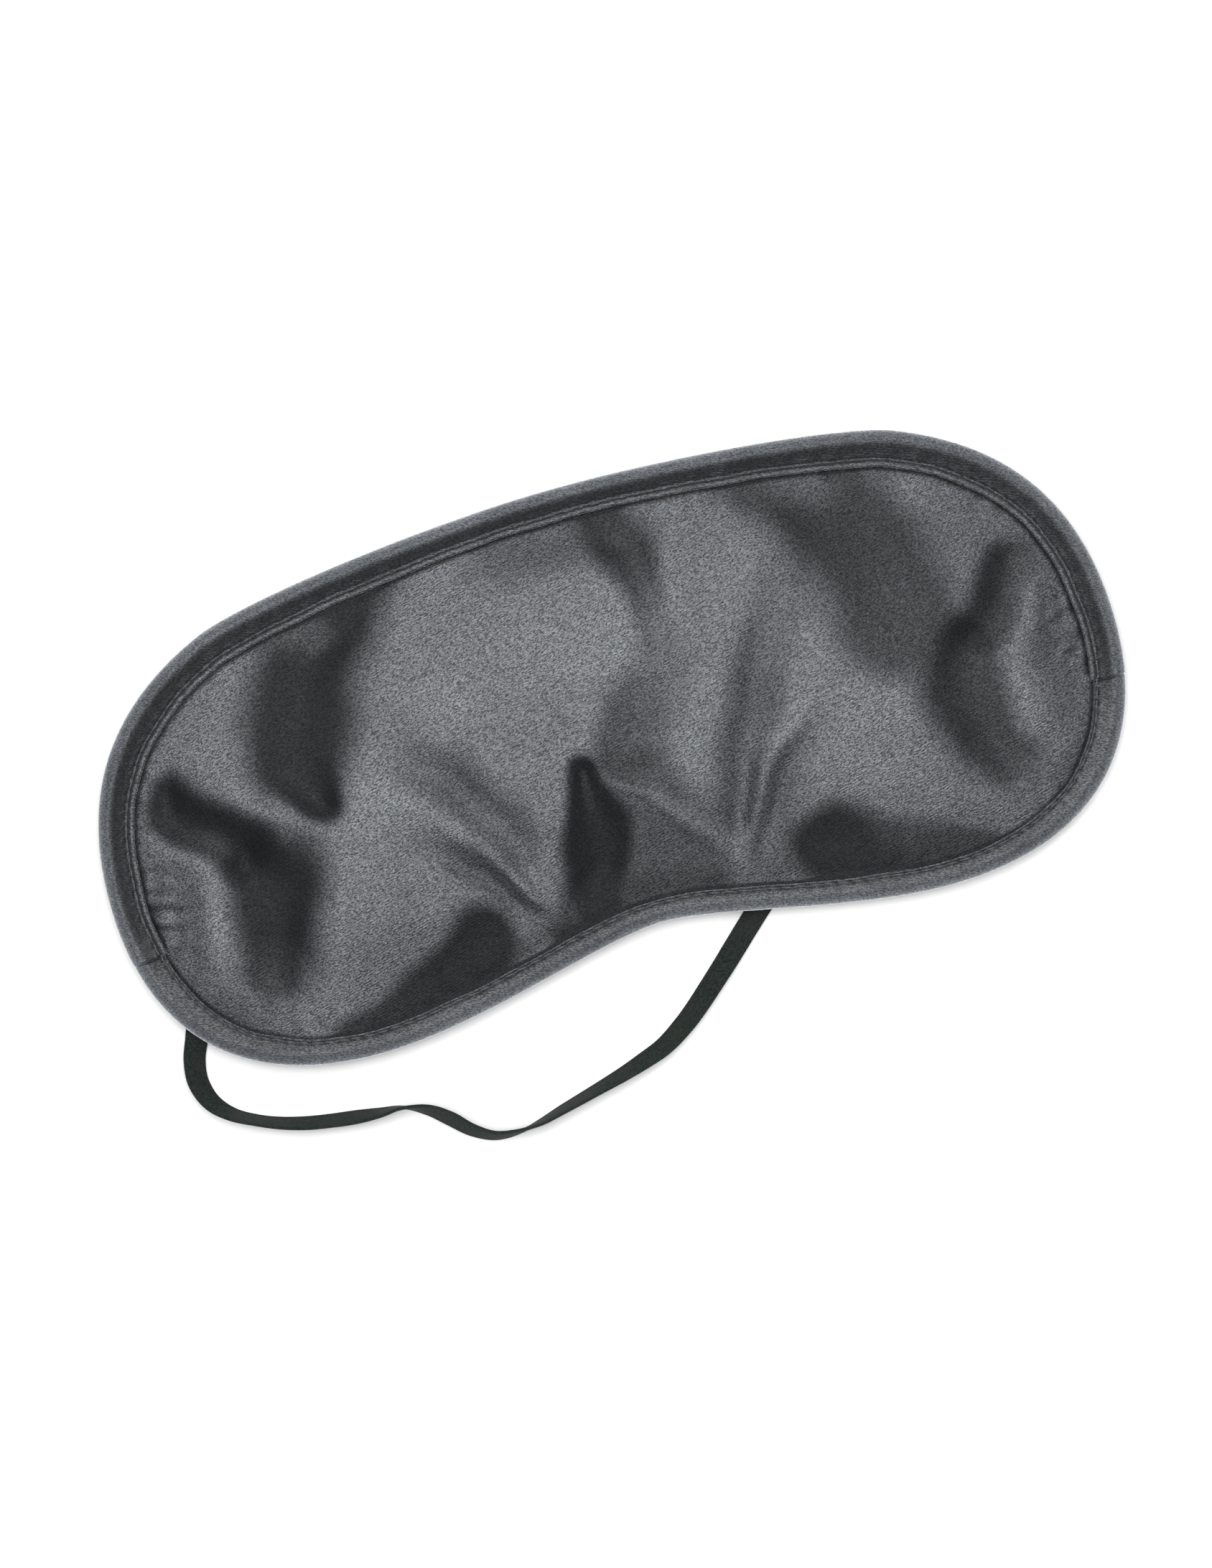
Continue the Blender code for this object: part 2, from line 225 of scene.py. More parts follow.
def tube(line, radius, sides=8):
    """A round tube along points, with flat ends drawn in a little."""
    line = np.asarray(line, float)
    along = np.gradient(line, axis=0)
    along /= np.linalg.norm(along, axis=1)[:, None]
    side = np.cross(along, (0.0, 0.0, 1.0))
    side /= np.maximum(np.linalg.norm(side, axis=1), 1e-9)[:, None]
    up = np.cross(side, along)
    angle = np.linspace(0.0, 2 * math.pi, sides, endpoint=False)
    radii = np.broadcast_to(radius, (len(line),)).copy()
    radii[[0, -1]] *= 0.55
    loops = (line[:, None] + radii[:, None, None]
             * (side[:, None] * np.cos(angle)[None, :, None] + up[:, None] * np.sin(angle)[None, :, None]))
    return swept(loops)


# ---------------------------------------------------------------- folds of the front

# Each fold of the satin: the places it runs through as x, y, half width and strength, then how
# deep its valley is (a ridge is negative), how much painted shade darkens it and dulls its coat (0 none,
# 1 most; negative values are painted highlight), and how softly it ends to its sides (0 crisp, 1 soft).
FOLDS = (
    (((-35.5, 42, 7.0, 1.0), (-44.5, 34, 9.0, 1.0), (-53, 25, 10.0, 1.0), (-57.5, 12, 10.0, 1.0),
      (-56.5, 2, 5.0, 1.0)), 1.2, 0.98, 0.5),
    (((-84, 9.8, 4.9, 1.0), (-78.5, 4, 4.6, 1.0), (-73, -2, 5.0, 1.0)), 1.2, 0.97, 0.5),
    (((-71, -6, 7.0, 1.0), (-68.3, -12, 10.0, 1.0), (-70.3, -20, 9.3, 1.0),
      (-74, -27, 7.0, 0.8)), 1.5, 1.0, 0.6),
    (((-33.5, -33, 7.0, 1.0), (-41, -40, 7.8, 1.0), (-62, -45, 6.5, 0.9)), 0.4, 1.0, 0.4),
    (((-5.5, -7, 3.3, 0.9), (-6.3, -17, 5.2, 1.0), (-8.4, -26, 5.8, 1.0),
      (-15.5, -36, 6.5, 1.0)), 1.4, 1.0, 0.35),
    (((15, 9, 5.5, 0.4), (7, 1, 6.0, 1.0), (1, -7, 5.0, 1.0)), 0.6, 0.6, 0.9),
    (((5, -10, 6.0, 0.8), (5.5, -24, 10.0, 1.0), (5, -36, 15.0, 0.9)), 0.3, 0.68, 0.6),
    (((0, -11, 1.8, 0.6), (10, -22, 2.4, 1.0), (18, -32, 2.4, 0.8)), -0.35, -0.30, 0.8),
    (((-40, 12, 4.5, 0.3), (-31, -1, 5.0, 1.0), (-21, -17, 4.5, 0.7)), 0.8, 0.5, 0.9),
    (((-42, -8, 3.5, 0.3), (-31, -18, 4.0, 1.0), (-22, -29, 3.5, 0.9)), 0.5, 0.55, 0.9),
    (((-40, -1, 3.0, 0.2), (-28, -14, 3.2, 0.9), (-19, -30, 3.0, 1.0)), -0.55, -0.3, 0.9),
    (((40, 16, 5.0, 0.4), (30, 0, 5.2, 1.0), (20, -23, 4.0, 0.9)), 0.8, 0.55, 0.9),
    (((40, -10, 3.5, 0.3), (30, -20, 4.0, 1.0), (22, -30, 3.5, 1.0)), 0.5, 0.55, 0.9),
    (((40, -5, 3.0, 0.2), (28, -16, 3.4, 0.9), (20, -31, 3.0, 1.0)), -0.55, -0.3, 0.9),
    (((-12, 39, 5.0, 0.9), (-4, 37, 5.0, 1.0), (6, 39, 6.0, 1.0)), 0.2, 0.45, 0.9),
    (((11, 42, 4.5, 1.0), (14, 32, 5.0, 1.0), (15.5, 15, 4.0, 0.3)), 0.8, 0.85, 0.7),
    (((39, 41, 6.5, 0.8), (51, 32, 10.5, 1.0), (58, 18, 13.5, 1.0), (61, 2, 10.0, 0.9)), 0.75, 0.84, 0.55),
    (((84.5, 9, 4.6, 1.0), (79, 3, 4.8, 1.0), (74, -2, 5.0, 0.9)), 0.8, 0.88, 0.6),
    (((71, -5, 6.0, 1.0), (69, -12, 8.3, 1.0), (70.5, -20, 8.5, 1.0), (74, -27, 6.0, 0.8)), 1.2, 0.84, 0.6),
    (((35, -33.5, 8.2, 1.0), (43, -40, 9.5, 1.0), (60, -45, 8.0, 0.8)), 0.4, 1.0, 0.35),
    (((-81, -1, 4.0, 0.7), (-82, -10, 5.0, 1.0), (-85, -22, 5.0, 0.8)), -0.25, -0.3, 0.9),
    (((88, 6, 4.0, 0.7), (82, -8, 5.5, 1.0), (84, -20, 6.0, 1.0)), -0.25, -0.35, 0.9),
    (((-61, -27, 5.0, 0.7), (-52, -24, 8.0, 1.0), (-43, -26, 4.0, 0.7)), -0.15, -0.35, 0.9),
    (((43, -22, 5.0, 0.7), (54, -27, 8.0, 1.0), (63, -33, 4.0, 0.7)), -0.15, -0.35, 0.9),
    (((-87, 19, 4.0, 1.0), (-80, 28, 5.0, 1.0), (-70, 35, 4.0, 0.6)), 0.0, -0.3, 0.9),
    (((85, 19, 4.0, 1.0), (80, 24, 6.0, 1.0), (71, 29, 4.0, 0.8)), 0.0, -0.3, 0.9),
    (((-26, -37, 4.0, 0.6), (0, -33, 4.0, 1.0), (30, -38, 5.0, 0.8)), 0.0, 0.5, 0.9),
    (((-93, -20, 3.0, 0.5), (-89, -29, 4.0, 1.0), (-80, -38, 3.0, 0.6)), 0.0, 0.5, 0.9),
    (((93, -20, 3.0, 0.5), (89, -29, 4.0, 1.0), (80, -38, 3.0, 0.6)), 0.0, 0.5, 0.9),
    (((-53, 36, 4.0, 1.0), (-49, 34, 4.0, 1.0)), 0.0, -0.3, 0.9),
    (((48, 36, 4.0, 1.0), (52, 33, 4.0, 1.0)), 0.0, -0.3, 0.9),
)
FOLD_SAG = 2.0
FOLD_DEPTH = 1.2
WANDER = 1.1


def stroke(points, places):
    """Distance of points from a stroke's middle line in half widths, and the strength there."""
    best = np.full(len(points), 1e9)
    strength = np.zeros(len(points))
    for start, end in zip(places, places[1:]):
        first, last = np.array(start[:2], float), np.array(end[:2], float)
        along = last - first
        t = np.clip(((points - first) @ along) / (along @ along), 0.0, 1.0)
        reach = np.linalg.norm(points - first - t[:, None] * along, axis=1)
        reach /= start[2] + (end[2] - start[2]) * t
        nearer = reach < best
        best[nearer] = reach[nearer]
        strength[nearer] = (start[3] + (end[3] - start[3]) * t)[nearer]
    return best, strength


def wandered(points):
    """Points moved about a little, so that no fold runs in straight lines."""
    x, y = points[:, 0], points[:, 1]
    dx = np.sin(x / 7.3 + 1.1) * np.cos(y / 6.1) + 0.6 * np.sin(x / 3.7 - y / 4.3 + 0.7)
    dy = np.cos(x / 6.7 - 0.4) * np.sin(y / 7.9 + 2.0) + 0.6 * np.cos(x / 4.1 + y / 3.3)
    return points + WANDER * np.column_stack([dx, dy])


def fold_fields():
    """Grid axes, height and painted shading of all folds."""
    xs = np.arange(-104.0, 104.1, 0.5)
    ys = np.arange(-52.0, 52.1, 0.5)
    grid = np.stack(np.meshgrid(xs, ys, indexing="ij"), axis=-1).reshape(-1, 2)
    grid = wandered(grid)
    height = np.zeros(len(grid))
    clear = np.ones(len(grid))
    painted_highlight = np.zeros(len(grid))
    for places, depth, painted_shading, softness in FOLDS:
        x, strength = stroke(grid, places)
        height -= FOLD_DEPTH * depth * strength * np.exp(-FOLD_SAG * x * x) * (1.0 + 0.3 * x * x)
        soft = strength * (1.0 - smoothstep(x, 1.0 - 0.8 * softness, 1.0 + 0.9 * softness))
        # Painted shade: positive values darken the satin and dull its coat; negative values are painted
        # highlight.
        clear *= 1.0 - max(painted_shading, 0.0) * soft
        painted_highlight += min(painted_shading, 0.0) * soft
    shape = (len(xs), len(ys))
    return xs, ys, height.reshape(shape), (1.0 - clear + painted_highlight).reshape(shape)


def sample(field, xs, ys, points):
    """Bilinear reading of a grid field."""
    fx = np.clip((points[:, 0] - xs[0]) / (xs[1] - xs[0]), 0, len(xs) - 1.001)
    fy = np.clip((points[:, 1] - ys[0]) / (ys[1] - ys[0]), 0, len(ys) - 1.001)
    ix, iy = fx.astype(int), fy.astype(int)
    tx, ty = fx - ix, fy - iy
    return (field[ix, iy] * (1 - tx) * (1 - ty) + field[ix + 1, iy] * tx * (1 - ty)
            + field[ix, iy + 1] * (1 - tx) * ty + field[ix + 1, iy + 1] * tx * ty)


# ---------------------------------------------------------------- panels

PANEL_COLUMNS = 260
PANEL_ROWS = 90
SPINE_Y = 2.0
SPINE_SLOPE = 0.6


def panel_grid(edge, inset, columns=PANEL_COLUMNS, rows=PANEL_ROWS):
    """Flat points of a sheet in closed rings from its edge to its spine, and its faces."""
    t = np.linspace(0.0, 1.0, columns + 1)
    upper = edge.at(-edge.tip + 2 * edge.tip * t, inset)
    lower = edge.at(-edge.tip - (edge.length - 2 * edge.tip) * t, inset)
    spine = np.stack([SPINE_SLOPE * (upper[:, 0] + lower[:, 0]) / 2.0,
                      np.full(columns + 1, SPINE_Y)], axis=1)
    ring = np.vstack([upper, lower[-2:0:-1]])
    centre = np.vstack([spine, spine[-2:0:-1]])
    pull = 1.0 - np.linspace(0.0, 1.0, rows + 1)[:-1] ** 1.5
    rings = centre[None] + (ring - centre)[None] * pull[:, None, None]
    verts = np.vstack([rings.reshape(-1, 2), spine])
    size = 2 * columns
    faces = grid_faces(rows, size, True)
    last = (rows - 1) * size
    first_spine = rows * size
    for i in range(columns):
        faces.append([last + i, last + i + 1, first_spine + i + 1, first_spine + i])
        below = [last + (size - i) % size, last + size - i - 1]
        faces.append([below[1], below[0], first_spine + i, first_spine + i + 1])
    return verts, faces, size


def shell(verts, faces, rim, top, bottom):
    """A closed sheet between two heights over the same flat points."""
    count = len(verts)
    points = np.vstack([np.column_stack([verts, top]), np.column_stack([verts, bottom])])
    under = [[i + count for i in face[::-1]] for face in faces]
    sides = [[i, i + count, (i + 1) % rim + count, (i + 1) % rim] for i in range(rim)]
    return points, faces + under + sides


def crown(depth):
    """Share of the padding's full height over a place this deep inside the edge."""
    run = np.clip((depth - CROWN_START) / CROWN_RUN, 0.0, 1.0)
    return np.sin(run * math.pi / 2.0)


def face_fullness(depth):
    """How far the face side stands out over a place this deep inside the edge."""
    run = np.clip((depth - CROWN_START) / CROWN_RUN, 0.0, 1.0)
    return FACE_FULLNESS * np.sin(run * math.pi / 2.0)


def strip_fall(edge, s):
    """How far the binding falls from its rolled edge to its stitches."""
    near = edge.from_top(s)
    return UPPER_FALL + (LOWER_FALL - UPPER_FALL) * smoothstep(near - edge.seam, -9.0, 15.0)


def pucker(edge, depth, s):
    """Short gathers where the stitching draws the satin in, strongest at the side seams."""
    near_seam = np.exp(-((edge.from_top(s) - edge.seam + 8.0) / 8.5) ** 2)
    skewed = s + 0.35 * (depth - 6.0) * np.sin(s / 5.3)
    fine = ripple(skewed, edge.length, (150, 177, 193, 214), SEED + 1)
    broad = ripple(skewed, edge.length, (61, 74, 89), SEED + 2)
    gathers = 0.05 * fine * np.exp(-(depth - 6.5) / 2.2) + 0.10 * broad * np.exp(-(depth - 6.5) / 5.0)
    crumple = ripple(skewed, edge.length, (71, 97, 118, 143), SEED + 3)
    crumple *= 0.6 + 0.4 * np.sin(depth * 1.3 + s * 0.9)
    return smoothstep(depth, 5.0, 7.4) * (gathers + 0.75 * crumple * near_seam
                                          * np.exp(-((depth - 8.5) / 3.6) ** 2))


class Front:
    """Height and shade of the satin front at any place."""

    def __init__(self, edge):
        self.edge = edge
        self.xs, self.ys, self.fold, self.shade = fold_fields()

    def height(self, points):
        """Height above the base, and shade, of the front at flat points."""
        depth, s = self.edge.nearest(points)
        folds = sample(self.fold, self.xs, self.ys, points) * smoothstep(depth, 6.0, 15.0)
        # Painted shadow in the gap beside the binding strip, joined to the folds' painted shading.
        past_strip = depth - whole_width(self.edge, s)
        groove = GROOVE_PAINTED_SHADOW * np.exp(-((past_strip - 0.25) / 0.6) ** 2)
        shade = sample(self.shade, self.xs, self.ys, points)
        shade = np.maximum(shade, groove) + 0.35 * np.minimum(np.maximum(shade, 0.0), groove)
        base = TOP_Z - STRIP - strip_fall(self.edge, s) - 0.10
        return base + (CROWN_TOP_Z - base) * crown(depth) + folds + pucker(self.edge, depth, s), shade


def make_front(edge, front):
    """The satin skin."""
    flat, faces, rim = panel_grid(edge, PANEL_INSET)
    top, shade = front.height(flat)
    piece = write_mesh("satin_front", *shell(flat, faces, rim, top, top - CLOTH))
    # The folds' painted shading, stored on both faces of the skin for the satin to read.
    write_field(piece, "painted_shading", np.concatenate([shade, shade]))
    return piece


def make_padding(edge, front):
    """The wadding under the satin, with a rounded rim."""
    flat, faces, rim = panel_grid(edge, PANEL_INSET + 0.4, 120, 28)
    top, _ = front.height(flat)
    depth, _ = edge.nearest(flat)
    rounding = 0.9 * (1.0 - smoothstep(depth, 2.2, 4.5))
    bottom = FOAM_Z - face_fullness(depth) + rounding * 0.5
    return write_mesh("wadding_pad", *shell(flat, faces, rim, top - CLOTH - 0.25 - rounding * 0.4, bottom))


def make_lining(edge):
    """The black lining on the face side, drawn in a little along its stitching."""
    flat, faces, rim = panel_grid(edge, PANEL_INSET, 200, 36)
    depth, s = edge.nearest(flat)
    waves = 0.12 * ripple(s, edge.length, (83, 97, 121), SEED + 4) * np.exp(-((depth - 8.0) / 4.0) ** 2)
    low = LINING_Z + waves - face_fullness(depth)
    return write_mesh("face_lining", *shell(flat, faces, rim, low + CLOTH, low))


# ---------------------------------------------------------------- binding

UPPER_WIDTHS = ((0.0, 6.2), (0.55, 7.2), (1.0, 6.9))
LOWER_WIDTHS = ((0.0, 6.2), (0.5, 4.7), (1.0, 4.5))
# How far inside a strip's inner edge its stitches run, and how much narrower it is behind.
UPPER_STITCH = 1.5
LOWER_STITCH = 0.6
REAR_SETBACK = 0.8
STITCH_PITCH = 2.75
THREAD_RADIUS = 0.15
# How far each strip falls from its rolled edge to its stitches.
UPPER_FALL = 1.25
LOWER_FALL = 0.30
# The stitches' groove, deeper at each needle hole, the ridge inside it, and small rises and dips.
GROOVE_HALF = 0.38
GROOVE_DEPTH = 0.14
HOLE_DEPTH = 0.22
RIDGE_RISE = 0.26
DRAWN_RISE = 0.06
SLACK_RISE = 0.07
# Painted shade, which darkens the satin and dulls its coat: everywhere on the strips, what the lower strip
# adds, in the band where the upper strip falls, on the rolled edge, and as painted shadow on the panel in
# the gap beside a strip.
BINDING_PAINTED_SHADE = 0.25
LOWER_PAINTED_SHADE = 0.12
BAND_PAINTED_SHADE = 0.66
ROLL_PAINTED_SHADE = 0.75
GROOVE_PAINTED_SHADOW = 1.0
# What the outermost millimetre adds to the painted highlight on the rolled edge.
RIM_PAINTED_HIGHLIGHT = 0.8
# Depth of the rolled edge, and the gap that each strip's end leaves at the side seam.
ROLL = 2.5
END_GAP = 0.01


def front_width(edge, s, upper):
    """The binding's width on the front at running lengths."""
    near = edge.from_top(s)
    if upper:
        width = stops(near / edge.seam, UPPER_WIDTHS)
    else:
        width = stops((near - edge.seam) / (edge.half - edge.seam), LOWER_WIDTHS)
    return width + 0.12 * ripple(s, edge.length, (17, 29, 41), SEED + 5)


def whole_width(edge, s):
    """The binding's width on the front, whichever strip covers the place."""
    near = edge.from_top(s)
    return np.where(near < edge.seam, front_width(edge, s, True), front_width(edge, s, False))


def stitch_depth(width, upper):
    """How deep inside the mask's edge a strip's stitches run."""
    return width - (UPPER_STITCH if upper else LOWER_STITCH)


def strip_span(edge, upper):
    """Running lengths of a strip's two ends."""
    return (-edge.seam, edge.seam) if upper else (edge.seam, edge.length - edge.seam)


def stitch_phase(s, span):
    """Place within the stitch pitch, 0 at a needle hole."""
    count = round((span[1] - span[0]) / STITCH_PITCH)
    return np.mod((s - span[0]) / (span[1] - span[0]) * count, 1.0)


def front_profile(depth, width, s, span, edge, upper):
    """Height of the folded strip's front above its flat level."""
    stitch = stitch_depth(width, upper)
    phase = stitch_phase(s, span)
    hole = 0.5 + 0.5 * np.cos(2 * math.pi * phase)
    roll = -strip_fall(edge, s) * smoothstep(depth, 1.5, stitch)
    groove = np.exp(-((depth - stitch) / GROOVE_HALF) ** 2) * (GROOVE_DEPTH + HOLE_DEPTH * hole)
    ridge = RIDGE_RISE * smoothstep(depth, stitch, stitch + 0.7) if upper else 0.0
    drawn = DRAWN_RISE * np.sin(2 * math.pi * (phase - 0.13 * (depth - stitch))) \
        * np.exp(-np.abs(depth - stitch) / 1.1)
    slack = SLACK_RISE * ripple(s + 0.8 * depth, edge.length, (53, 67, 91, 113), SEED + 6)
    return roll + ridge - groove + (drawn + slack) * smoothstep(depth, 0.5, 2.5)


def strip_section(edge, s, width, span, upper):
    """Depths and heights once round the folded strip at every station."""
    high = TOP_Z - 0.15
    low = UNDER_Z
    middle = (high + low) / 2.0
    half = (high - low) / 2.0
    rear = stitch_depth(width, upper) - REAR_SETBACK
    flat = np.ones_like(s)
    columns = []
    for angle in np.linspace(-90.0, 90.0, 15):
        c, n = math.cos(math.radians(angle)), math.sin(math.radians(angle))
        depth = ROLL * (1.0 - c) * flat
        lift = front_profile(depth, width, s, span, edge, upper) * smoothstep(angle, 20.0, 90.0)
        columns.append((depth, middle + half * n + lift))
    for part in np.linspace(0.06, 1.0, 20):
        depth = ROLL + (width - 0.22 - ROLL) * part
        columns.append((depth, high + front_profile(depth, width, s, span, edge, upper)))
    edge_top = high + front_profile(width - 0.2, width, s, span, edge, upper)
    for out, drop in ((-0.06, 0.08), (0.0, 0.26), (-0.05, 0.45), (-0.25, STRIP)):
        columns.append((width + out, edge_top - drop))
    for part in (0.75, 0.5, 0.25, 0.0):
        depth = ROLL + (width - 0.3 - ROLL) * part
        columns.append((depth, high - STRIP + 0.6 * front_profile(depth, width, s, span, edge, upper)))
    for angle in np.linspace(75.0, -75.0, 7):
        c, n = math.cos(math.radians(angle)), math.sin(math.radians(angle))
        columns.append(((STRIP + (ROLL - STRIP) * (1.0 - c)) * flat, (middle + (half - STRIP) * n) * flat))
    columns.append((ROLL * flat, (low + STRIP) * flat))
    columns.append((rear - 0.2, (low + STRIP) * flat))
    columns.append((rear, (low + STRIP * 0.6) * flat))
    columns.append((rear - 0.1, (low + 0.08) * flat))
    for part in (0.85, 0.6, 0.3):
        columns.append((ROLL + (rear - ROLL) * part, (low + 0.02) * flat))
    return columns


def strip_shade(depth, stitch, fall):
    """A strip's painted shade, and the painted highlight along its rolled edge, at depths inside the edge.
    """
    steep = (fall / UPPER_FALL) ** 2
    # Painted shade in the band where the upper strip falls, on the lower strip and on the rolled edge.
    band = steep * (1.0 - smoothstep(depth, stitch - 0.7, stitch + 0.3))
    flat = BINDING_PAINTED_SHADE + LOWER_PAINTED_SHADE * (1.0 - steep)
    rolled = ROLL_PAINTED_SHADE * (1.0 - smoothstep(depth, 1.6, 3.0))
    painted_shading = np.maximum(flat + (BAND_PAINTED_SHADE - flat) * band, rolled)
    # Painted highlight: the rolled edge is lightened where it would reflect the white floor.
    painted_rim_highlight = 1.0 - smoothstep(depth, 0.4, 3.4) + RIM_PAINTED_HIGHLIGHT * (1.0 - smoothstep(depth, 0.0, 1.0))
    return painted_shading, painted_rim_highlight


def make_binding(edge, name, upper):
    """One folded strip from seam to seam. Its ends lean across the edge at the side seams."""
    span = strip_span(edge, upper)
    count = int((span[1] - span[0]) / 0.42)
    s = np.linspace(span[0] + END_GAP, span[1] - END_GAP, count)
    width = front_width(edge, s, upper)
    columns = strip_section(edge, s, width, span, upper)
    from_end = np.minimum(s - span[0], span[1] - s)
    sign = np.where(np.mod(s, edge.length) < edge.half, 1.0, -1.0)
    lean = 0.20 * np.exp(-from_end / 7.0) * sign
    tuck = 0.22 * (1.0 - smoothstep(from_end, 0.0, 0.5))
    lie = (0.16 if upper else -0.10) * np.exp(-from_end / 3.0)
    middle = (TOP_Z + UNDER_Z) / 2.0
    loops = np.empty((count, len(columns), 3))
    for index, (depth, height) in enumerate(columns):
        over = smoothstep(height, middle, TOP_Z - 1.0)
        loops[:, index, :2] = edge.at(s + lean * depth * over,
                                      depth + tuck * 0.6 - 0.5 * lie * (depth < 1.5))
        loops[:, index, 2] = height + (lie - tuck) * over
    piece = write_mesh(name, *swept(loops))
    depths = np.stack([depth for depth, _ in columns], axis=1)
    # The strips' painted shade and painted rim highlight, stored on every point for the satin to read.
    painted_shading, painted_rim_highlight = strip_shade(depths, stitch_depth(width, upper)[:, None], strip_fall(edge, s)[:, None])
    write_field(piece, "painted_shading", painted_shading.ravel())
    write_field(piece, "painted_rim_highlight", painted_rim_highlight.ravel())
    return piece


# ---------------------------------------------------------------- stitches

def make_stitches(edge, name, upper, on_front):
    """A row of separate stitches lying in the groove they pull into the strip."""
    span = strip_span(edge, upper)
    count = round((span[1] - span[0]) / STITCH_PITCH)
    pitch = (span[1] - span[0]) / count
    rng = np.random.default_rng(SEED + (10 if upper else 20) + (1 if on_front else 2))
    t = np.linspace(0.0, 1.0, 9)
    bodies = []
    for index in range(count):
        start = span[0] + (index + 0.10) * pitch
        s = start + 0.84 * pitch * t
        width = front_width(edge, s, upper)
        depth = stitch_depth(width, upper) + rng.uniform(-0.07, 0.07)
        slant = 0.16 * (t - 0.5)
        spot = edge.at(s, depth + slant)
        if on_front:
            level = TOP_Z - 0.15 + front_profile(depth, width, s, span, edge, upper)
            height = level - 0.16 + 0.26 * np.sin(math.pi * t) ** 0.6
        else:
            height = LINING_Z - 0.02 - 0.20 * np.sin(math.pi * t) ** 0.6
        bodies.append(tube(np.column_stack([spot, height]), THREAD_RADIUS, 7))
    return write_mesh(name, *joined(bodies))


# ---------------------------------------------------------------- strap

ANCHOR_X = 93.5
AXIS_Z = 0.4
STRAP_WIDTH = 4.4
STRAP_THICKNESS = 0.8
ROOT_Y = SEAM_Y - 0.7
# Route of the strap's middle line from the left seam to the right one: x, y, tilt, lift.
STRAP_ROUTE = (
    (-ANCHOR_X, ROOT_Y, 0, 0), (-93.2, -22.2, 0, 0), (-91.8, -27.0, 0, 0),
    (-90.7, -31.0, -3, 0), (-91.6, -34.3, -10, 0), (-93.1, -38.2, -22, 0),
    (-93.6, -42.5, -30, 0), (-92.2, -46.9, -46, 0), (-89.0, -50.3, -62, 0),
    (-84.8, -52.7, -68, 0), (-80.6, -54.5, -65, 0), (-75.9, -55.9, -61, 0),
    (-71.3, -56.8, -60, 0), (-66.6, -57.5, -60, 0), (-61.9, -58.0, -72, 0),
    (-57.3, -58.3, -92, 0.4), (-52.7, -60.1, -118, 1.0), (-49.1, -62.9, -130, 1.2),
    (-45.8, -66.1, -124, 0.8), (-41.9, -68.4, -113, 0.3), (-37.4, -69.0, -101, 0),
    (-32.8, -68.5, -82, 0), (-28.3, -67.4, -73, 0), (-23.7, -66.3, -68, 0),
    (-19.2, -65.2, -63, 0), (-14.8, -64.1, -56, 0), (-10.4, -62.8, -48, 0),
    (-6.1, -61.3, -41, 0), (-2.1, -59.0, -33, 0), (1.9, -56.1, -27, 0),
    (8.7, -50.3, -18, 0), (12.4, -47.0, -8, 0), (16.4, -43.4, -2, 0),
    (20.0, -40.3, 0, 0), (27.0, -35.2, 0, 0), (38.0, -31.2, 0, 0),
    (53.0, -30.2, 0, 0), (70.0, -32.2, 0, 0), (84.5, -30.4, 0, 0),
    (92.8, -23.0, 0, 0), (ANCHOR_X, ROOT_Y, 0, 0),
)
RIBS = 9
RIB_DEPTH = 0.07
SCALLOP_PITCH = 0.62


def strap_line(step=0.3):
    """Evenly spaced middle points, directions and tilts along the strap."""
    knots = np.array(STRAP_ROUTE, float)
    ends = np.vstack([2 * knots[0] - knots[1], knots, 2 * knots[-1] - knots[-2]])
    t = np.linspace(0.0, 1.0, 24, endpoint=False)[:, None]
    spans = []
    for a, b, c, d in zip(ends, ends[1:], ends[2:], ends[3:]):
        spans.append(0.5 * (2 * b + (c - a) * t + (2 * a - 5 * b + 4 * c - d) * t ** 2
                            + (3 * b - a - 3 * c + d) * t ** 3))
    dense = np.vstack(spans + [knots[-1:]])
    run = np.concatenate([[0.0], np.cumsum(np.linalg.norm(np.diff(dense[:, :2], axis=0), axis=1))])
    s = np.linspace(0.0, run[-1], int(run[-1] / step))
    x, y, tilt, lift = (np.interp(s, run, dense[:, i]) for i in range(4))
    tilt = np.radians(tilt)
    height = np.maximum(0.0, lift) + (STRAP_WIDTH * np.abs(np.sin(tilt))
                                      + STRAP_THICKNESS * np.abs(np.cos(tilt))) / 2.0
    middle = np.column_stack([x, y, height])
    along = np.gradient(middle[:, :2], axis=0)
    along /= np.linalg.norm(along, axis=1)[:, None]
    return s, middle, along, tilt


def ribbon_section(count=72):
    """Unit section of the ribbed elastic as (across, through) pairs, once round."""
    angle = np.linspace(0.0, 2 * math.pi, count, endpoint=False)
    across = np.sign(np.cos(angle)) * np.abs(np.cos(angle)) ** 0.55
    through = np.sign(np.sin(angle)) * np.abs(np.sin(angle)) ** 0.35
    ribs = 1.0 - (RIB_DEPTH / STRAP_THICKNESS) * 2.0 * (0.5 + 0.5 * np.cos(math.pi * RIBS * (across + 1.0)))
    return across, through * ribs


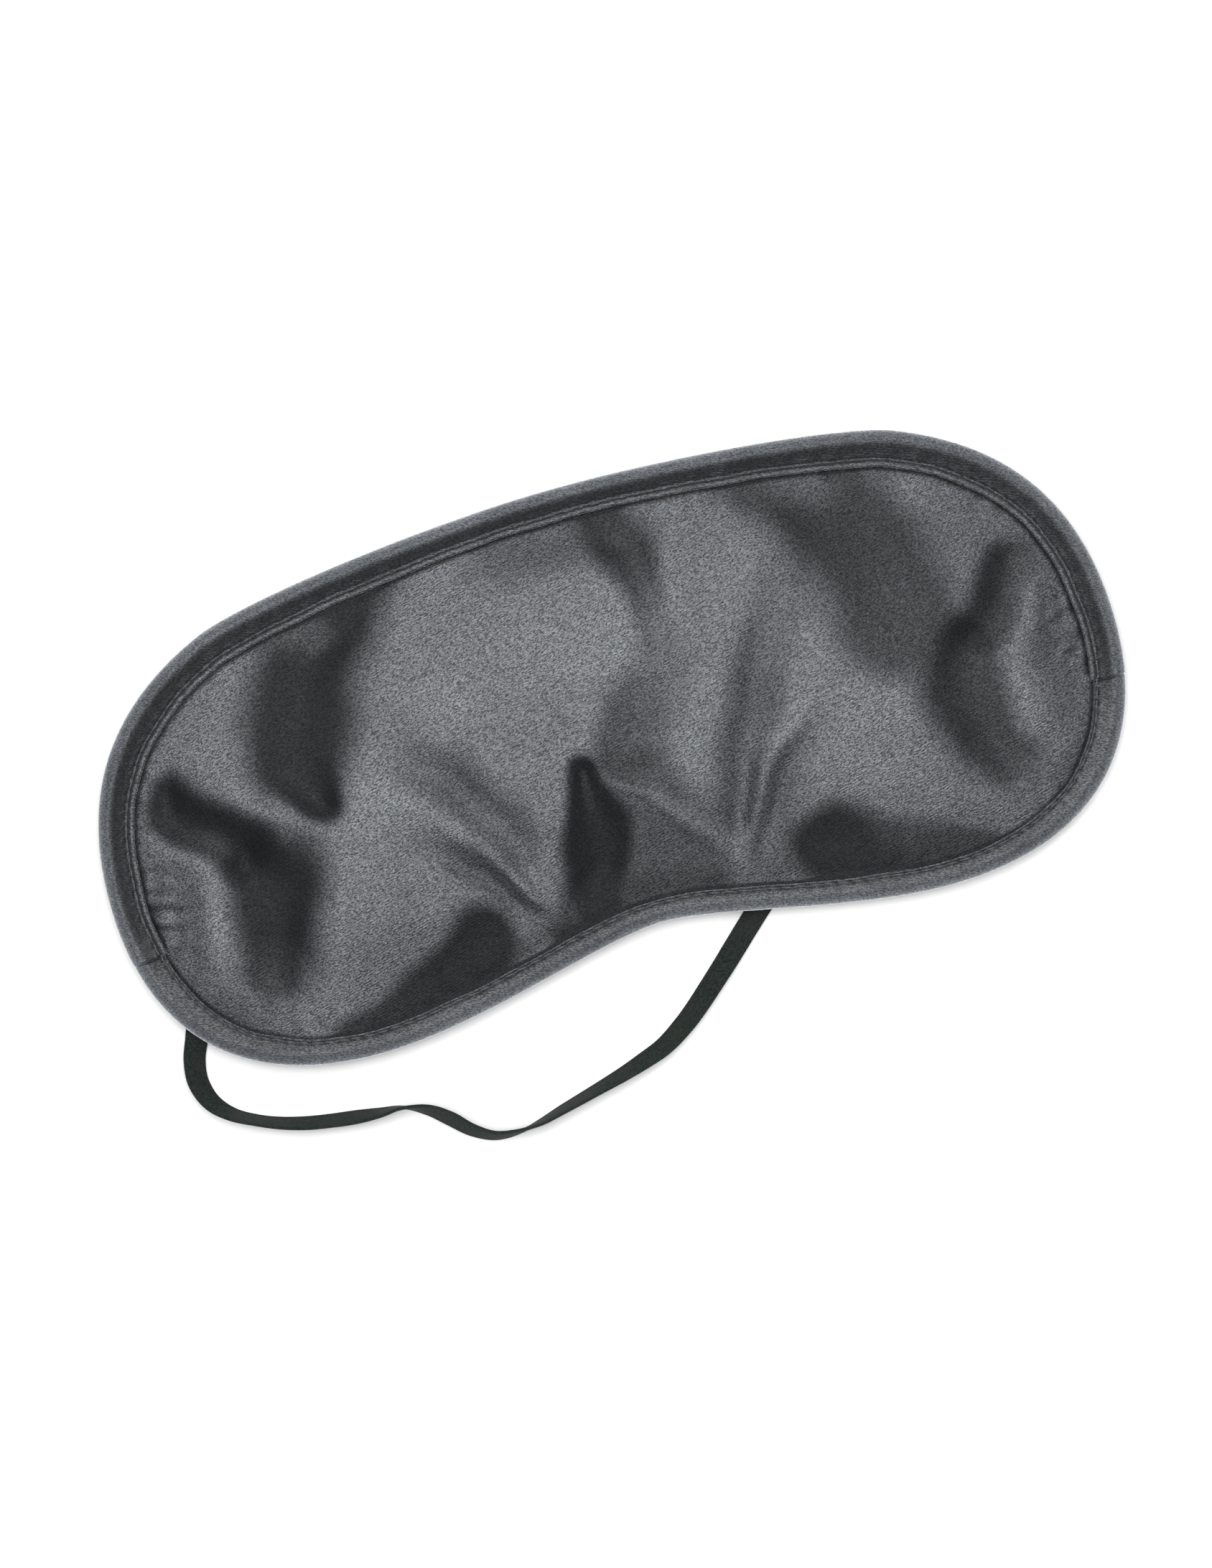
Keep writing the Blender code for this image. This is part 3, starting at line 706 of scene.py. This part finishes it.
def make_strap():
    """The elastic, with lengthwise ribs and the small scallops of a woven edge."""
    s, middle, along, tilt = strap_line()
    across_unit, through_unit = ribbon_section()
    left = np.column_stack([-along[:, 1], along[:, 0], np.zeros(len(s))])
    up = np.array([0.0, 0.0, 1.0])
    across = left * np.cos(tilt)[:, None] + up * np.sin(tilt)[:, None]
    through = up * np.cos(tilt)[:, None] - left * np.sin(tilt)[:, None]
    scallop = 1.0 - 0.012 * (1.0 + np.sin(2 * math.pi * s / SCALLOP_PITCH))
    weave = 1.0 + 0.05 * np.sin(2 * math.pi * s / SCALLOP_PITCH)
    loops = (middle[:, None]
             + across[:, None] * (across_unit[None, :] * scallop[:, None])[..., None] * STRAP_WIDTH / 2.0
             + through[:, None] * (through_unit[None, :] * weave[:, None])[..., None]
             * (STRAP_THICKNESS / 2.0 - 0.02))
    piece = write_mesh("elastic_band", *swept(loops))
    return piece, middle, s[-1]


def make_tack(name, side):
    """A bar of thread wound over the sewn end of the strap."""
    turns = 15
    length = 5.2
    t = np.linspace(0.0, 1.0, turns * 10 + 1)
    angle = 2 * math.pi * turns * t
    x = side * ANCHOR_X + (t - 0.5) * (length - 0.35)
    coil = np.column_stack([x, SEAM_Y + 0.24 * np.cos(angle), AXIS_Z + 0.24 * np.sin(angle)])
    core_x = side * ANCHOR_X + np.linspace(-0.5, 0.5, 9) * (length - 0.3)
    core = np.column_stack([core_x, np.full(9, SEAM_Y), np.full(9, AXIS_Z)])
    return write_mesh(name, *joined([tube(coil, 0.15, 6), tube(core, 0.2, 8)]))


# ---------------------------------------------------------------- materials

class Nodes:
    """Small helper that adds and links shader nodes."""

    def __init__(self, name):
        self.material = bpy.data.materials.new(name)
        self.material.use_nodes = True
        self.tree = self.material.node_tree
        self.shader = self.tree.nodes["Principled BSDF"]

    def add(self, kind, inputs=None, **settings):
        """A node with its settings, and its inputs linked or set."""
        node = self.tree.nodes.new(kind)
        for key, value in settings.items():
            setattr(node, key, value)
        for key, value in (inputs or {}).items():
            self.feed(node.inputs[key], value)
        return node

    def feed(self, socket, value):
        """Link an output to a socket, or set the socket's value."""
        if isinstance(value, bpy.types.NodeSocket):
            self.tree.links.new(value, socket)
        else:
            socket.default_value = value

    def set(self, **inputs):
        """Set or link inputs of the Principled shader, named with underscores for spaces."""
        for key, value in inputs.items():
            self.feed(self.shader.inputs[key.replace("_", " ")], value)

    def math(self, operation, a, b=0.0, clamp=False):
        """Output of a Math node."""
        node = self.add("ShaderNodeMath", operation=operation, use_clamp=clamp)
        for socket, value in zip(node.inputs, (a, b)):
            self.feed(socket, value)
        return node.outputs[0]

    def coords(self, turn=0.0, scale=(1.0, 1.0, 1.0)):
        """Object coordinates in millimetres, turned about Z by degrees, then scaled."""
        source = self.add("ShaderNodeTexCoord").outputs["Object"]
        turned = self.add("ShaderNodeMapping", {"Vector": source, "Rotation": (0, 0, math.radians(-turn))})
        return self.add("ShaderNodeMapping", {"Vector": turned.outputs[0],
                                              "Scale": tuple(1000.0 * k for k in scale)}).outputs[0]

    def noise(self, vector, scale, detail=2.0, rough=0.5):
        """Factor of a noise texture."""
        return self.add("ShaderNodeTexNoise", {"Vector": vector, "Scale": scale, "Detail": detail,
                                               "Roughness": rough}).outputs[0]

    def wave(self, vector, scale, distortion=0.0):
        """Factor of a banded wave along X."""
        return self.add("ShaderNodeTexWave", {"Vector": vector, "Scale": scale, "Distortion": distortion,
                                              "Detail": 2.0, "Detail Scale": 2.0}).outputs[1]

    def between(self, value, low, high, to_low, to_high):
        """Map a value from one range to another, clamped."""
        return self.add("ShaderNodeMapRange", {"Value": value, "From Min": low, "From Max": high,
                                               "To Min": to_low, "To Max": to_high}).outputs[0]

    def blend_colours(self, factor, first, second):
        """Mix of two colours."""
        node = self.add("ShaderNodeMix", data_type="RGBA")
        self.feed(node.inputs["Factor"], factor)
        self.feed(node.inputs["A"], first)
        self.feed(node.inputs["B"], second)
        return node.outputs["Result"]

    def bump(self, height, distance, strength=1.0, normal=None):
        """Bump with its depth in millimetres."""
        inputs = {"Height": height, "Distance": distance * MM, "Strength": strength}
        if normal is not None:
            inputs["Normal"] = normal
        return self.add("ShaderNodeBump", inputs).outputs[0]


def satin(name, weave_turn, light, dark, gloss, sheen):
    """Satin: fine floats that sparkle in a glossy face; painted shade darkens it and dulls its coat, and
    painted highlight lightens it.
    """
    n = Nodes(name)
    floats = n.noise(n.coords(weave_turn, (1.7, 4.6, 2.7)), 1.0, 2.0, 0.65)
    specks = n.noise(n.coords(weave_turn + 8.0, (2.5, 5.8, 3.7)), 1.0, 1.0, 0.5)
    twill = n.wave(n.coords(weave_turn + 90.0), 0.62, 0.8)
    grain = n.math("ADD", n.math("MULTIPLY", floats, 0.6), n.math("MULTIPLY", specks, 0.4))
    slow = n.between(n.noise(n.coords(), 0.06, 3.0, 0.55), 0.3, 0.7, 0.86, 1.12)
    tone = n.between(grain, 0.42, 0.58, 0.0, 1.0)
    shine = n.math("MULTIPLY", n.between(tone, 0.0, 1.0, 0.24 * gloss, 1.16 * gloss), slow)
    painted_shade_level = n.add("ShaderNodeAttribute", attribute_name="painted_shading").outputs["Fac"]
    rim_highlight_gain = n.math("MULTIPLY", n.add("ShaderNodeAttribute", attribute_name="painted_rim_highlight").outputs["Fac"], 4.0)
    # Painted shade and highlight: the painted shading darkens the colour and the painted rim highlight
    # lightens it.
    shade = n.math("MULTIPLY", slow, n.math("ADD", rim_highlight_gain, n.between(painted_shade_level, -0.35, 1.0, 1.3, 0.15)))
    # Painted shade also takes gloss from the coat, and painted highlight adds gloss to it.
    shine = n.math("MULTIPLY", shine, n.between(painted_shade_level, -0.35, 1.0, 1.25, 0.06), clamp=True)
    colour = n.blend_colours(tone, dark, light)
    tinted = n.add("ShaderNodeVectorMath", {0: colour, 1: shade}, operation="MULTIPLY").outputs[0]
    relief = n.bump(grain, 0.12, 1.0, n.bump(twill, 0.016, 0.8))
    n.set(Base_Color=tinted, Roughness=n.between(tone, 0.0, 1.0, 0.62, 0.50), Normal=relief,
          Coat_Weight=shine, Coat_Roughness=0.34, Coat_IOR=1.6, Coat_Normal=relief,
          Sheen_Weight=sheen, Sheen_Roughness=0.3, Specular_IOR_Level=0.08)
    return n.material


def matt_cloth(name, light, dark, weave, roughness):
    """Plain matt weave in two directions with a brushed surface."""
    n = Nodes(name)
    warp = n.wave(n.coords(0.0), 1.0 / weave * 0.3, 0.8)
    weft = n.wave(n.coords(90.0), 1.0 / weave * 0.3, 0.8)
    fuzz = n.noise(n.coords(), 2.2, 3.0, 0.6)
    cloth = n.math("ADD", n.math("MULTIPLY", warp, 0.5), n.math("MULTIPLY", weft, 0.5))
    tone = n.math("ADD", n.math("MULTIPLY", cloth, 0.5), n.math("MULTIPLY", fuzz, 0.5))
    n.set(Base_Color=n.blend_colours(n.between(tone, 0.3, 0.7, 0.0, 1.0), dark, light),
          Roughness=n.between(fuzz, 0.3, 0.7, roughness - 0.05, roughness + 0.05),
          Normal=n.bump(tone, 0.08, 0.8), Sheen_Weight=0.25, Sheen_Roughness=0.6)
    return n.material


def ribbed_elastic():
    """Near-black elastic: fine cross threads, slightly green, with paler fuzz."""
    n = Nodes("elastic_black")
    knit = n.noise(n.coords(0.0, (2.6, 2.6, 2.6)), 1.0, 2.0, 0.6)
    slow = n.noise(n.coords(), 0.12, 2.0, 0.5)
    colour = n.blend_colours(n.between(knit, 0.35, 0.65, 0.0, 1.0), (0.002, 0.0035, 0.0028, 1.0),
                             (0.009, 0.013, 0.0105, 1.0))
    brown = n.blend_colours(n.between(slow, 0.4, 0.6, 0.0, 0.35), colour, (0.012, 0.011, 0.009, 1.0))
    n.set(Base_Color=brown, Roughness=n.between(knit, 0.3, 0.7, 0.85, 0.7),
          Normal=n.bump(knit, 0.06, 0.8), Sheen_Weight=0.03, Sheen_Roughness=0.6,
          Specular_IOR_Level=0.08)
    return n.material


def sewing_thread():
    """Twisted polyester thread."""
    n = Nodes("thread_grey")
    ply = n.wave(n.coords(35.0), 1.1, 0.5)
    fuzz = n.noise(n.coords(), 3.0, 2.0, 0.5)
    mix = n.math("ADD", n.math("MULTIPLY", ply, 0.6), n.math("MULTIPLY", fuzz, 0.4))
    n.set(Base_Color=n.blend_colours(mix, (0.010, 0.011, 0.012, 1.0), (0.034, 0.036, 0.039, 1.0)),
          Roughness=n.between(fuzz, 0.3, 0.7, 0.42, 0.55), Normal=n.bump(mix, 0.05, 0.8),
          Sheen_Weight=0.1, Sheen_Roughness=0.4)
    return n.material


def dress(piece, material):
    """Give a piece its material."""
    piece.data.materials.clear()
    piece.data.materials.append(material)


# ---------------------------------------------------------------- stage

# Name, place in metres, width in metres, power in watts, colour.
LIGHTS = (
    ("softbox_overhead", (-0.05, 0.16, 1.35), 1.15, 46.5, (0.93, 0.97, 1.0)),
    ("side_lamp", (0.75, 0.55, 0.85), 0.30, 5.0, (0.95, 0.97, 1.0)),
)
SURROUND_COLOUR = (0.95, 0.98, 1.0, 1.0)
SURROUND_RAMP = (("From Min", 0.20), ("From Max", 0.50), ("To Min", 3.6), ("To Max", 0.03))
PAPER_DARK = (0.50, 0.48, 0.465, 1.0)
PAPER_LIGHT = (0.54, 0.52, 0.505, 1.0)
FLOOR_HALF = 3.0
FLOOR_DROP = 0.00005


def area_light(name, spot, size, power, colour):
    """A soft square light aimed at the middle of the mask."""
    lamp = bpy.data.lights.new(name, "AREA")
    lamp.shape = "RECTANGLE"
    lamp.size, lamp.size_y = size, size
    lamp.energy = power
    lamp.color = colour
    holder = bpy.data.objects.new(name, lamp)
    holder.location = spot
    holder.rotation_mode = "QUATERNION"
    holder.rotation_quaternion = (-Vector(spot)).to_track_quat("-Z", "Y")
    bpy.context.scene.collection.objects.link(holder)


def surround_gradient(tree):
    """Surround that is bright near the horizon, as a white tent is, and dim overhead."""
    direction = tree.nodes.new("ShaderNodeTexCoord").outputs["Generated"]
    split = tree.nodes.new("ShaderNodeSeparateXYZ")
    ramp = tree.nodes.new("ShaderNodeMapRange")
    ramp.interpolation_type = "SMOOTHSTEP"
    for name, value in SURROUND_RAMP:
        ramp.inputs[name].default_value = value
    background = tree.nodes["Background"]
    background.inputs["Color"].default_value = SURROUND_COLOUR
    tree.links.new(direction, split.inputs[0])
    tree.links.new(split.outputs["Z"], ramp.inputs["Value"])
    tree.links.new(ramp.outputs[0], background.inputs["Strength"])


def make_stage():
    """White table, soft overhead light and a pale surround."""
    half = FLOOR_HALF / MM
    corners = [(-half, -half, 0), (half, -half, 0), (half, half, 0), (-half, half, 0)]
    floor = write_mesh("table_top", corners, [[0, 1, 2, 3]], smooth=False)
    floor.location.z = -FLOOR_DROP
    paper = Nodes("white_paper")
    fibre = paper.noise(paper.coords(), 0.3, 2.0, 0.5)
    paper.set(Base_Color=paper.blend_colours(fibre, PAPER_DARK, PAPER_LIGHT),
              Roughness=0.9, Specular_IOR_Level=0.1)
    floor.data.materials.append(paper.material)
    world = bpy.data.worlds.new("surround")
    world.use_nodes = True
    surround_gradient(world.node_tree)
    bpy.context.scene.world = world
    for light in LIGHTS:
        area_light(*light)
    bpy.context.scene.view_settings.view_transform = "Standard"
    bpy.context.scene.view_settings.look = "None"


def make_camera():
    """Camera straight above, its up direction turned from the mask's own."""
    data = bpy.data.cameras.new("camera")
    data.lens = CAMERA_LENS
    data.sensor_width = 36.0
    data.clip_start = 0.05
    data.clip_end = 20.0
    camera = bpy.data.objects.new("camera", data)
    camera.location = (CAMERA_AIM[0] * MM, CAMERA_AIM[1] * MM, CAMERA_HEIGHT * MM)
    camera.rotation_euler = (0.0, 0.0, math.radians(CAMERA_ROLL))
    bpy.context.scene.collection.objects.link(camera)
    bpy.context.scene.camera = camera


# ---------------------------------------------------------------- assembly

def fit_piece(piece, node, body, material):
    """Let a piece stand for its CAD node, ride on its body and take its finish."""
    dress(piece, material)
    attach(piece, body)
    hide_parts(node)
    return piece


def main():
    """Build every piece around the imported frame."""
    make_camera()
    make_stage()
    edge = Edge()
    front = Front(edge)
    satin_front = satin("satin_grey", 13.0, (0.019, 0.020, 0.022, 1.0), (0.003, 0.0032, 0.004, 1.0),
                        0.74, 0.03)
    satin_strip = satin("satin_binding", -20.0, (0.0182, 0.019, 0.0202, 1.0),
                        (0.006, 0.0062, 0.0067, 1.0), 0.62, 0.8)
    lining = matt_cloth("lining_black", (0.030, 0.031, 0.034, 1.0), (0.010, 0.010, 0.012, 1.0), 0.5, 0.85)
    wadding = matt_cloth("wadding_grey", (0.42, 0.42, 0.41, 1.0), (0.24, 0.24, 0.23, 1.0), 1.4, 0.95)
    thread = sewing_thread()
    elastic = ribbed_elastic()

    strap, route, strap_length = make_strap()
    fit_piece(strap, "elastic_strap", "strap", elastic)
    panel = fit_piece(make_front(edge, front), "front_panel", "mask", satin_front)
    pad = fit_piece(make_padding(edge, front), "foam_padding", "mask", wadding)
    back = fit_piece(make_lining(edge), "back_panel", "mask", lining)
    for strip, upper in (("upper", True), ("lower", False)):
        binding = make_binding(edge, f"{strip}_edge_strip", upper)
        fit_piece(binding, f"binding_{strip}", "mask", satin_strip)
        for face, on_front in (("front", True), ("rear", False)):
            row = make_stitches(edge, f"{strip}_{face}_stitches", upper, on_front)
            fit_piece(row, f"{strip}_{face}_stitching", "mask", thread)
    for name, side in (("left", -1), ("right", 1)):
        tack = make_tack(f"{name}_bar_tack", side)
        fit_piece(tack, f"strap_tack_{name}", "mask", thread)


main()
